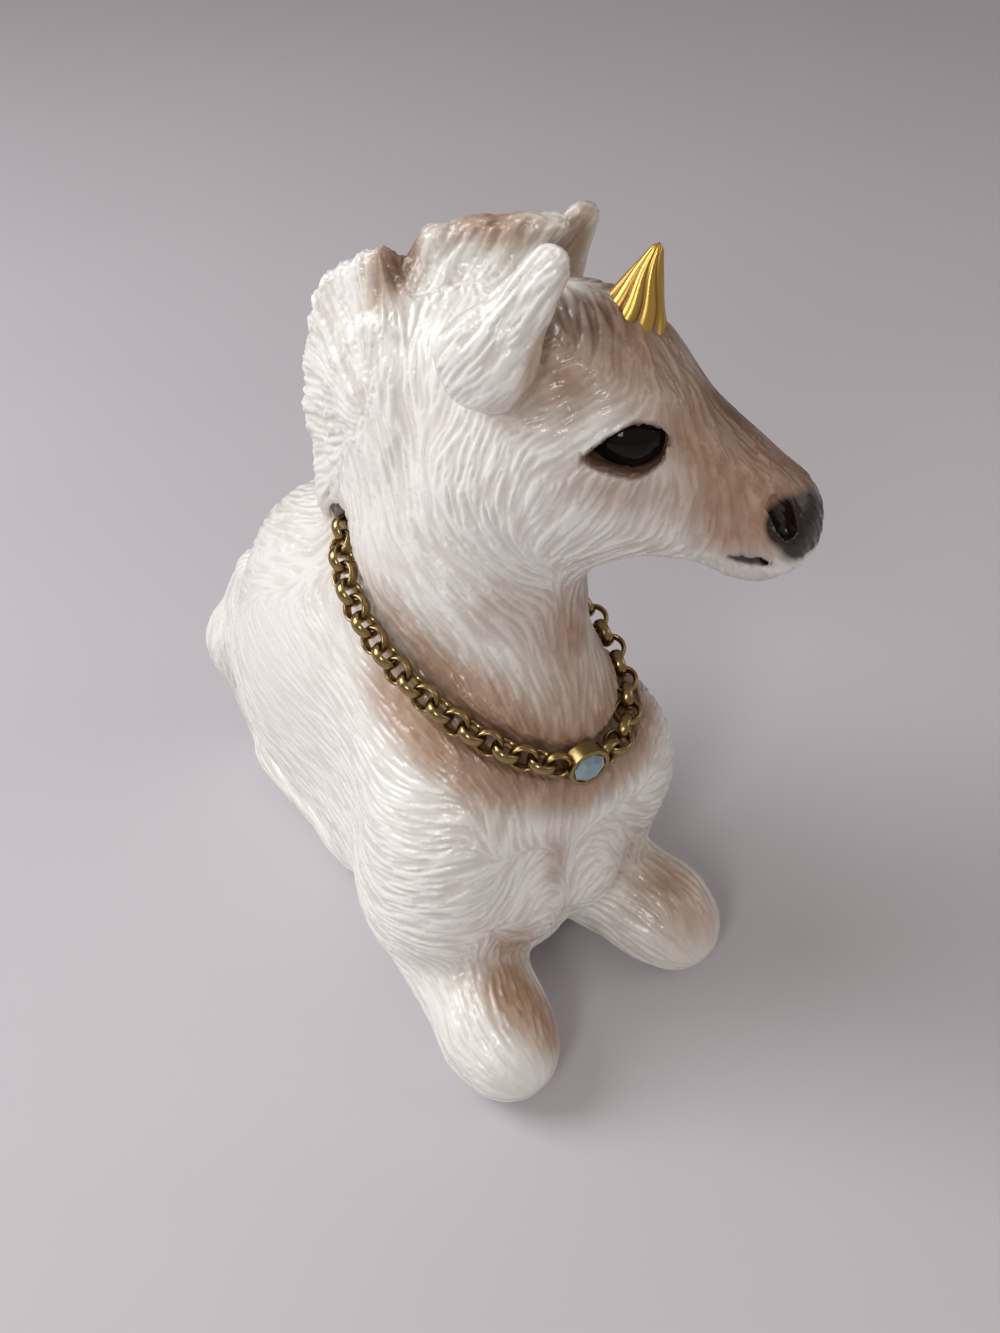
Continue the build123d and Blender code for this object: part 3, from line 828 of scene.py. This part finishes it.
def strokes(size, length):
    """Noise averaged along the comb direction, scaled to a spread of 1."""
    total = np.zeros(count, F)
    for t in np.linspace(-0.5, 0.5, stroke_samples):
        total += noise(places + comb * F(t * length), size) * F(1 - abs(t))
    return total / total.std()


wander = noise(places, wander_size) * F(wander_turn)
side_way = np.cross(normals, comb)
comb = comb * np.cos(wander)[:, None] + side_way * np.sin(wander)[:, None]
fine_hair = strokes(0.36, 3.2)
wide_hair = strokes(0.58, 4.6)
lock_hair = strokes(0.95, 9.0)
print("three widths of stroke")

# %% [markdown]
# ## Paint and relief carried by the skin
# The tan and brown washes are partly the ware's own paint and partly painted shade, in the folds, under the
# jaw, by the ears and on the shaded forehead and nose bridge, so they belong to places and not to a texture.
# Each wash is a soft spot with a strength, and several spots make a band, as round the chain.
# They are stored as numbers on the vertices, so that the material can read them by name.

# %% Depth of the strokes at each vertex
head_place = (places - head_origin.astype(F)) @ head_turn.astype(F)


def spot(where, centre, radius):
    """A soft round mask, 1 in the middle and 0 beyond the radius."""
    gap = np.linalg.norm((where - np.array(centre, F)) / np.array(radius, F), axis=1)
    return soft_mask(gap, 0.0, 1.0)


both_sides = head_place * np.array([1, 1, 0], F) + np.abs(head_place) * np.array([0, 0, 1], F)
knees = np.maximum(spot(places, (-16.2, -37, 8), (10, 9, 11)), spot(places, (19.5, -36, 8), (10, 9, 11)))
calm = (1 - 0.95 * knees) * (1 - 0.9 * soft_mask(places[:, 2], 1.0, 3.0))
for where, centre, radius, share in (
        (both_sides, (33, -4, 3), (7.5, 9, 8), 0.85), (both_sides, (30, -12, 3), (7, 4, 7), 0.9),
        (both_sides, (10.2, 3.4, 10), (5.4, 4.2, 5), 0.95), (both_sides, (16, 8, 2), (14, 7, 8), 0.6),
        (places, (-16, 26, 45), (16, 27, 28), 0.75), (places, (16, 26, 45), (16, 27, 28), 0.6),
        (places, (2, -25, 38), (8, 8, 9), 0.5)):
    calm *= 1 - share * spot(where, centre, radius)
grooves = 0.62 * fine_hair + 0.75 * wide_hair
grooves = np.tanh(grooves * 0.9) - 0.35 * np.exp(-(grooves / 0.35) ** 2)
locks = np.tanh(lock_hair * 1.1) * 0.7 + np.tanh(wide_hair) * 0.5 + 0.25 * fine_hair
mane_factor, stroke_depth = 1.3, 0.17
relief = grooves * calm * (1 - mane) + locks * mane * mane_factor
relief_mm = relief * F(stroke_depth)
print("relief from", round(float(relief_mm.min()), 2), "to", round(float(relief_mm.max()), 2), "mm")

# %% Washes and painted shade
# Each row holds a centre, three radii and a strength; the first list of a wash is placed on the body and
# the second in the head's own axes, on both sides at once.
# The tan and brown spots are partly the ware's paint and partly painted shade, darkening where shade falls on
# the foal.
wash_and_shade_spots = {
    "tan": (
        [(-11, -12, 54, 7, 9, 6.5, 1.1), (-8, -17, 52, 7, 8, 6.5, 1.2), (-3, -22, 50, 7, 7, 7, 1.2),
         (2, -24, 46, 7, 6, 7, 1.1), (8, -24, 50, 6, 6, 7, 1.0), (-14, -4, 57, 6, 8, 6, 0.9),
         (-9, -18, 46, 6, 6, 7, 0.8), (-5, -15, 59, 6, 7, 7, 0.7), (4, -20, 57, 8, 6, 9, 0.9),
         (12, -15, 56, 7, 9, 8, 1.0), (6, -18, 68, 9, 8, 10, 1.0), (-2, -15, 74, 8, 5, 6, 0.5),
         (-13, -30, 16, 6.5, 10, 6, 1.3), (-11, -35, 12, 6, 7, 7, 1.1), (-8, -23, 20, 6, 6, 9, 0.9),
         (18.5, -29, 15, 8, 10, 6, 1.0), (19.5, -35, 11, 8, 6, 6, 0.7), (-2, -26, 34, 3, 4, 7, 0.6),
         (14, -24, 24, 7, 6, 8, 0.5), (-2, 6, 108, 5, 5, 4, 0.3), (-1, 6.5, 112, 6, 4, 8, 1.2),
         (8, -1, 117.5, 9, 9, 3, 1.0)],
        [(6, 11, 7, 9, 7, 8, 1.0), (8, 13, 2, 9, 7, 9, 1.5), (1, 9, 11, 5, 6, 6, 0.8),
         (14, 7, 7, 8, 6, 7, 1.0), (18, 5, 3, 14, 9, 9, 1.5), (25, 0, 4, 10, 8, 9, 1.6),
         (30, -1, 2, 9, 8, 8, 1.4), (27, -5, 6, 8, 6, 6, 1.1), (17, -3, 9, 8, 5, 5, 0.45),
         (10, -1.5, 12, 8, 4, 5, 0.6), (-3, 14, 9, 6, 9, 4, 0.9), (-4, 5, 12, 5, 4, 4, 0.5),
         (-2.4, 11, 13, 1.9, 6, 4, 0.9), (-1.2, 19, 12, 1.8, 6, 4, 0.9)]),
    "brown": (
        [(-1, 5.8, 112, 5, 2.2, 6, 0.9), (-6, 0.5, 106, 2.5, 3, 1.2, 0.5)],
        [(2, 15, 5, 8, 6, 6.5, 1.2), (-3, 13, 6, 6, 9, 4.5, 1.2), (29, 0.5, 0, 9, 5, 6, 0.9),
         (20, 6.5, 0, 15, 7, 8, 1.1), (11, 11, 3, 7, 5, 7, 0.7), (34, -1, 0, 5, 5, 6, 1.0),
         (8, 14.5, 0, 7, 4, 6, 0.9), (5.6, 1.6, 12.4, 1.8, 1.4, 2.5, 0.7)]),
    "dark": (
        [],
        [(34.5, -3.6, 4.2, 5.4, 6.4, 5.6, 2.6), (36.5, -4.5, 0, 3.8, 4.8, 5, 2.0),
         (31.6, -2.8, 6.0, 3.2, 4.2, 4, 2.0)]),
    "grey": (
        [],
        [(31, -11.5, 0, 8, 3.8, 7, 1.6), (29, -8.2, 6, 5, 2.4, 3, 0.9)]),
}
wash_and_shade_spread = {"tan": 1.25, "brown": 1.1, "dark": 1.0, "grey": 1.0}
paint = {}
for name, tables in wash_and_shade_spots.items():
    total = np.zeros(count, F)
    for where, table_of_spots in zip((places, both_sides), tables):
        for row in table_of_spots:
            amount = spot(where, row[:3], np.array(row[3:6]) * wash_and_shade_spread[name]) * F(row[6])
            total = 1 - (1 - total) * (1 - np.minimum(amount, 1))
    paint[name] = total
columns = [places[:, k] for k in range(3)]
edge_of_eye = np.abs(lid_edge(columns)) + np.maximum(0, 5 - both_sides[:, 2])
to_chain = np.full(count, 999.0, F)
for bead in chain_beads:
    to_chain = np.minimum(to_chain, ((places - bead.astype(F)) ** 2).sum(1))
to_chain = np.sqrt(to_chain)
# Tan wash and painted shade round the chain, strongest towards the front, with brown right beside the chain
# as painted shadow of the rings.
collar_wash_and_shade = soft_mask(to_chain, 3.5, 11.0) * np.clip((10 - places[:, 1]) / 20, 0.15, 1).astype(F)
paint["tan"] = 1 - (1 - paint["tan"]) * (1 - collar_wash_and_shade)
paint["brown"] = 1 - (1 - paint["brown"]) * (1 - 0.35 * collar_wash_and_shade * soft_mask(to_chain, 2.0, 7.0))
paint["lid"] = soft_mask(edge_of_eye, 0.2, 0.9)
slit = np.full(count, 9.0, F)
for side in (1, -1):
    for start, end, start_radius, end_radius in mouth_lengths(side):
        slit = np.minimum(slit, pod(start, end, 0.1, 0.1)[0](columns))
paint["slit"] = soft_mask(slit, 0.35, 0.75)
paint["groove"] = np.clip(0.5 - 0.5 * relief, 0, 1).astype(F)
print({name: round(float(v.mean()), 3) for name, v in paint.items()})

# %% The finished skin
moved = places + normals * relief_mm[:, None]
moved[:, 2] = np.where(places[:, 2] < 1.1, np.minimum(places[:, 2], moved[:, 2]).clip(0.1), moved[:, 2])
fine.vertices.foreach_set("co", (moved * F(MM)).ravel())
for name, values in paint.items():
    fine.attributes.new(name, "FLOAT", "POINT").data.foreach_set("value", values.astype(F))
fine.update()
print("the skin carries", list(paint))

# %% [markdown]
# ## Glaze
# The ware is cream white under a clear glossy glaze, and the grooves of the strokes get painted shade, a
# darker brown mixed into their colour.
# The washes under it, partly paint and partly painted shade, go from pink tan to brown, and the nose is
# nearly black and very shiny.
# One material reads the stored masks and mixes the colours, and a clear coat on top gives the wet shine.

# %% Glazed body
glaze, shader, s = material("pearl_glaze")
mask = {name: s.node("ShaderNodeAttribute", out=2, attribute_name=name) for name in paint}
mottle = s.node("ShaderNodeTexNoise", {"Scale": 160.0, "Detail": 5.0, "Roughness": 0.6})
cloud = s.node("ShaderNodeTexNoise", {"Scale": 38.0, "Detail": 3.0})
cream = mottle.ramp(0.3, 0.7).mix(colour(0.88, 0.85, 0.79), colour(0.92, 0.90, 0.85))
pink = cloud.ramp(0.35, 0.65).mix(colour(0.45, 0.255, 0.15), colour(0.37, 0.20, 0.115))
# Tan wash and painted shade, a little stronger in the grooves.
tan_wash_and_shade = mask["tan"] * (0.95 + mask["groove"] * 0.15) * (0.82 + cloud.ramp(0.25, 0.7) * 0.2)
base = tan_wash_and_shade.ramp(0.0, 1.0).mix(cream, pink)
# Painted shade: the grooves are darkened towards brown, more where the tan lies.
groove_shade = (mask["groove"] - 0.5).ramp(0.0, 0.5) * (0.34 + mask["tan"] * 0.3)
base = groove_shade.mix(base, colour(0.40, 0.30, 0.23))
# Brown wash and painted shade, deeper in the grooves.
base = (mask["brown"] * (0.75 + mask["groove"] * 0.3)).ramp(0.0, 1.1).mix(base, colour(0.12, 0.052, 0.026))
base = mask["grey"].ramp(0.0, 1.0).mix(base, colour(0.36, 0.31, 0.29))
base = mask["lid"].mix(base, colour(0.16, 0.09, 0.06))
base = mask["dark"].ramp(0.2, 0.8).mix(base, colour(0.020, 0.008, 0.005))
base = mask["slit"].mix(base, colour(0.022, 0.010, 0.009))
feed(shader, {"Base Color": base, "Roughness": 0.34 + mottle * 0.12 - mask["dark"] * 0.2,
              "Coat Weight": 0.6 - mask["dark"] * 0.35, "Coat Roughness": 0.09, "Coat IOR": 1.5,
              "Subsurface Weight": 0.05, "Subsurface Radius": (0.002, 0.0014, 0.001)})
tiny = s.node("ShaderNodeTexNoise", {"Scale": 1500.0, "Detail": 3.0})
bump = s.node("ShaderNodeBump", {"Height": tiny, "Strength": 0.10, "Distance": 0.0002})
feed(shader, {"Normal": bump})
foal = linked("glazed_foal", fine, glaze)
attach(foal, "figurine")
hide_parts("trunk", "neck", "head", "mane_crest", "forelock", "right_ear", "left_ear",
            "right_foreleg", "left_foreleg", "right_hind_leg", "left_hind_leg", "tail")
print("foal", len(fine.polygons), "faces")

# %% [markdown]
# ## Eyes
# Each eye is a dome of black glass behind the lids, polished, so that it shows the lamps as small glints.
# A ball of rings and spokes scaled to the socket is enough, because only its front is seen.

# %% Black glass eyes


def lathe(profile, around):
    """A closed mesh turned about z from (radius, height) pairs, with a vertex at each end."""
    turn = np.arange(around) * 2 * math.pi / around
    verts = [(0, 0, profile[0][1])]
    for radius, level in profile[1:-1]:
        verts += [(radius * math.cos(t), radius * math.sin(t), level) for t in turn]
    verts.append((0, 0, profile[-1][1]))
    faces, rings = [], len(profile) - 2
    for k in range(around):
        after = (k + 1) % around
        faces.append((0, 1 + after, 1 + k))
        for r in range(rings - 1):
            a, b = 1 + r * around, 1 + (r + 1) * around
            faces.append((a + k, a + after, b + after, b + k))
        last = 1 + (rings - 1) * around
        faces.append((last + k, last + after, len(verts) - 1))
    return np.array(verts, float), faces


def solid(name, verts, faces, paint):
    mesh = bpy.data.meshes.new(name)
    mesh.from_pydata((np.array(verts) * MM).tolist(), [], faces)
    mesh.polygons.foreach_set("use_smooth", [True] * len(faces))
    mesh.update()
    return linked(name, mesh, paint)


glass, shader, s = material("black_glass")
depth_tint = s.node("ShaderNodeTexNoise", {"Scale": 240.0, "Detail": 2.0})
feed(shader, {"Base Color": depth_tint.mix(colour(0.004, 0.003, 0.003), colour(0.010, 0.006, 0.004)),
              "Roughness": 0.03, "IOR": 1.27})
dome = [(math.sin(t), -math.cos(t)) for t in np.linspace(0, math.pi, 25)]
rise = np.array([[math.cos(eye_rise), math.sin(eye_rise), 0], [-math.sin(eye_rise), math.cos(eye_rise), 0],
                 [0, 0, 1]])
eye_radii, eye_set_back, eye_depth = np.array([5.3, 4.5, 5.2]), 0.3, 6.1
for name, node, side in (("right_glass_eye", "right_eye", 1), ("left_glass_eye", "left_eye", -1)):
    verts, faces = lathe(dome, 48)
    verts = (verts * eye_radii) @ rise
    socket = np.array([eye_centre[0] - eye_set_back, eye_centre[1], eye_depth * side])
    verts = verts * np.array([1, 1, side]) + socket
    faces = faces if side > 0 else [face[::-1] for face in faces]
    eye = solid(name, head_origin + verts @ head_turn.T, faces, glass)
    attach(eye, "figurine")
    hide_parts(node)
print("eyes made")

# %% [markdown]
# ## Horn
# The horn is a short cone that stands on the forehead and leans forward a little, gilded and polished.
# Its cross-section is a circle whose radius rises and falls, which makes ribs that sway on their way up.
# The valleys between them and the back of the foot get painted shade, a brown mixed into the gold.

# %% Gilded horn
levels, around, ribs = 44, 168, 9
t = np.linspace(0, 1, levels)[:, None]
turn = (np.arange(around) * 2 * math.pi / around)[None, :]
sway = 0.28 * np.sin(t * 5.0) + 0.25 * t
rib = np.abs(np.cos((turn + sway) * ribs / 2)) ** 0.7
horn_height, foot_radius, tip_radius, horn_foot = 10.6, 4.5, 0.6, np.array([6.9, 13.2, 0.0])
radius = tip_radius + foot_radius * (1 - t) ** 1.1
radius = radius * (0.84 + 0.16 * rib) * np.sqrt(np.clip((1.004 - t) / 0.06, 0, 1))
lean_forward = 0.3 * t + 0.3 * t * t
rise_of_level = horn_height * t + 0 * turn
verts = np.stack([radius * np.cos(turn) + lean_forward, rise_of_level, radius * np.sin(turn)], -1)
verts = verts.reshape(-1, 3) + horn_foot
faces = []
for i in range(0, (levels - 1) * around, around):
    for k in range(around):
        after = (k + 1) % around
        faces.append((i + around + k, i + around + after, i + after, i + k))
faces.append(tuple(range(around)))
gilding, shader, s = material("gilding")
valley = s.node("ShaderNodeAttribute", out=2, attribute_name="valley")
worn = s.node("ShaderNodeTexNoise", {"Scale": 420.0, "Detail": 4.0})
gold = worn.ramp(0.35, 0.7).mix(colour(0.60, 0.36, 0.075), colour(0.78, 0.52, 0.15))
feed(shader, {"Base Color": (valley * 0.9).ramp(0.25, 1.0).mix(gold, colour(0.20, 0.085, 0.02)),
              "Metallic": 0.92 - valley * 0.25, "Roughness": 0.20 + worn * 0.08 + valley * 0.12})
bump = s.node("ShaderNodeBump", {"Height": worn, "Strength": 0.08, "Distance": 0.0003})
feed(shader, {"Normal": bump})
horn = solid("gilded_horn", head_origin + verts @ head_turn.T, faces, gilding)
# Painted shade: brown in the valleys between the ribs and on the back of the foot.
valley_shade = np.clip(1 - rib + 0.8 * (1 - t) ** 1.5 * (0.5 - 0.5 * np.cos(turn)), 0, 1)
horn.data.attributes.new("valley", "FLOAT", "POINT").data.foreach_set("value", valley_shade.astype(F).ravel())
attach(horn, "figurine")
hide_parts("horn")
print("horn", len(faces), "faces")

# %% [markdown]
# ## Chain, setting and stone
# The rings of the imported model already have the right form, so they stay and only get a better metal.
# Old gilt brass gets painted shade: an occlusion node makes it darker, browner and rougher in its hollows.
# The stone stays flat-faced, and light and dark patches stand in for the reflections inside a cut stone.

# %% Chain metal


def repaint(name, paint):
    for place in bpy.data.objects[name].material_slots:
        place.material = paint


brass, shader, s = material("old_gilt_brass")
tarnish = s.node("ShaderNodeTexNoise", {"Scale": 520.0, "Detail": 6.0, "Roughness": 0.65})
hollow = s.node("ShaderNodeAmbientOcclusion", {"Distance": 0.0012}, out=1, samples=6)
# Painted shade: where the occlusion node finds a hollow, the brass is mixed towards dark brown.
hollow_shade = (1 - hollow).ramp(0.15, 0.85)
metal = tarnish.ramp(0.35, 0.7).mix(colour(0.25, 0.165, 0.065), colour(0.50, 0.37, 0.17))
feed(shader, {"Base Color": (hollow_shade * 0.8).mix(metal, colour(0.10, 0.06, 0.025)), "Metallic": 1.0,
              "Roughness": 0.12 + tarnish * 0.14 + hollow_shade * 0.3})
bump = s.node("ShaderNodeBump", {"Height": tarnish, "Strength": 0.12, "Distance": 0.0001})
feed(shader, {"Normal": bump})
for name in ("left_edge_rings", "right_edge_rings", "left_flat_rings", "right_flat_rings", "jewel_setting"):
    repaint(name, brass)
print("five nodes of rings and setting in old brass")

# %% Stone
stone, shader, s = material("pale_blue_stone")
# Painted reflections: Voronoi cells mix dark and pale blue into the stone's colour.
reflection_cells = s.node("ShaderNodeTexVoronoi", {"Scale": 900.0}, feature="F1")
spark = Shade(s.tree, reflection_cells.socket.node.outputs["Color"])
split = s.node("ShaderNodeSeparateColor", {"Color": spark})
feed(shader, {"Base Color": (split ** 1.6).mix(colour(0.02, 0.07, 0.11), colour(0.62, 0.84, 0.92)),
              "Metallic": 0.35, "Roughness": 0.04, "IOR": 1.6, "Coat Weight": 1.0, "Coat Roughness": 0.02})
repaint("crystal", stone)
print("stone cut")

# %% [markdown]
# ## Felt
# A thin oval of felt under the trunk keeps the glaze off the table.
# Its edge is rounded and a little uneven, as cut with scissors.

# %% Felt pad
felt_paint, shader, s = material("grey_felt")
fibre = s.node("ShaderNodeTexNoise", {"Scale": 900.0, "Detail": 8.0, "Roughness": 0.7})
feed(shader, {"Base Color": fibre.mix(colour(0.20, 0.19, 0.185), colour(0.36, 0.345, 0.33)),
              "Roughness": 0.95})
bump = s.node("ShaderNodeBump", {"Height": fibre, "Strength": 0.5, "Distance": 0.0003})
feed(shader, {"Normal": bump})
profile = [(0, 0), (0.5, 0), (0.97, 0.02), (0.995, 0.25), (1.0, 0.5), (0.995, 0.75), (0.97, 0.98), (0.5, 1.0),
           (0, 1.0)]
verts, faces = lathe(profile, 96)
wobble = 1 + 0.006 * np.sin(np.arctan2(verts[:, 1], verts[:, 0]) * 11) - 0.006
half_width, half_length = 9.0, 15.0
verts = verts * np.stack([half_width * wobble, half_length * wobble, np.ones(len(verts))], 1)
felt = solid("felt_base", verts, faces, felt_paint)
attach(felt, "figurine")
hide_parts("felt_pad")
